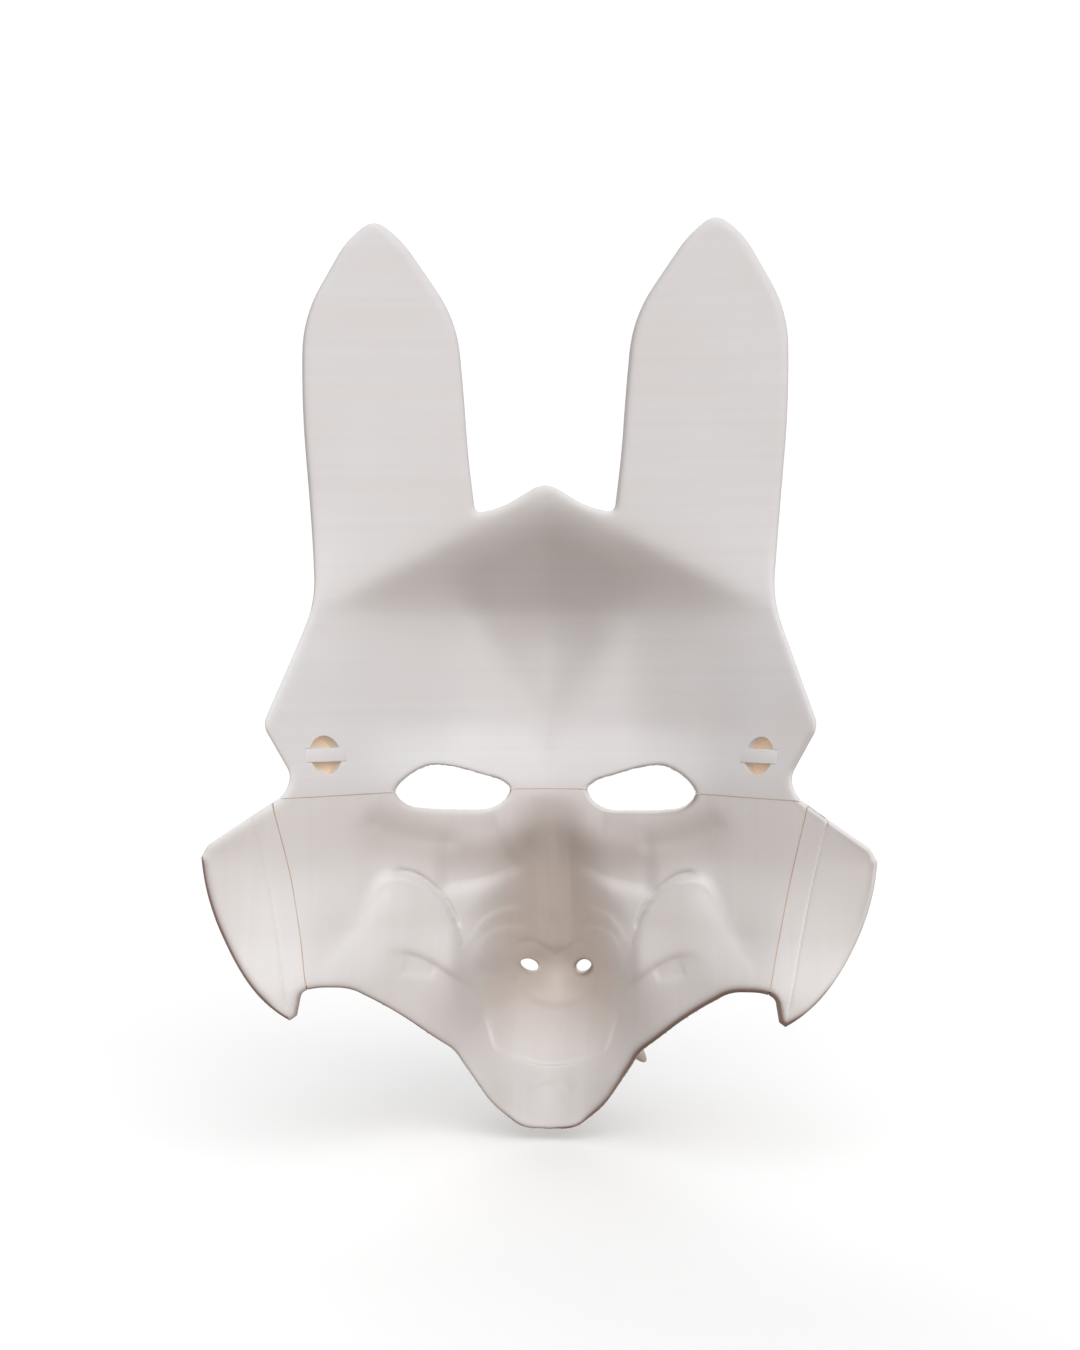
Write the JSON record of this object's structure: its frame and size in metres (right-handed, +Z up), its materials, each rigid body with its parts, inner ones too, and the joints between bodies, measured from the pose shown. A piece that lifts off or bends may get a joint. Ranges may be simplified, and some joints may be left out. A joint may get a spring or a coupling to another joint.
{
  "type": "animal costume mask",
  "caption": "Printed beast face mask with two tall ears, eye holes, snout with nostrils, glued pointed cheek wings, strap bars and fangs.",
  "frame": {"origin": "On the symmetry plane, at the height of the glued seam through the eyes, in the plane of the rearmost rim that meets the wearer's face", "axes": "+X to the wearer's right, +Y forward out of the face, +Z up towards the ear tips"},
  "size_m": [0.2064, 0.1252, 0.3036],
  "materials": {
    "shell": "matte warm white printed plastic with fine layer lines",
    "bar": "matte warm white printed plastic",
    "fang": "matte warm white printed plastic"
  },
  "bodies": {
    "root": {"brow_shell": "shell", "muzzle_shell": "shell", "cheek_wing_right": "shell", "cheek_wing_left": "shell", "strap_bar_right": "bar", "strap_bar_left": "bar", "fang_right": "fang", "fang_left": "fang"}
  },
  "joints": []
}
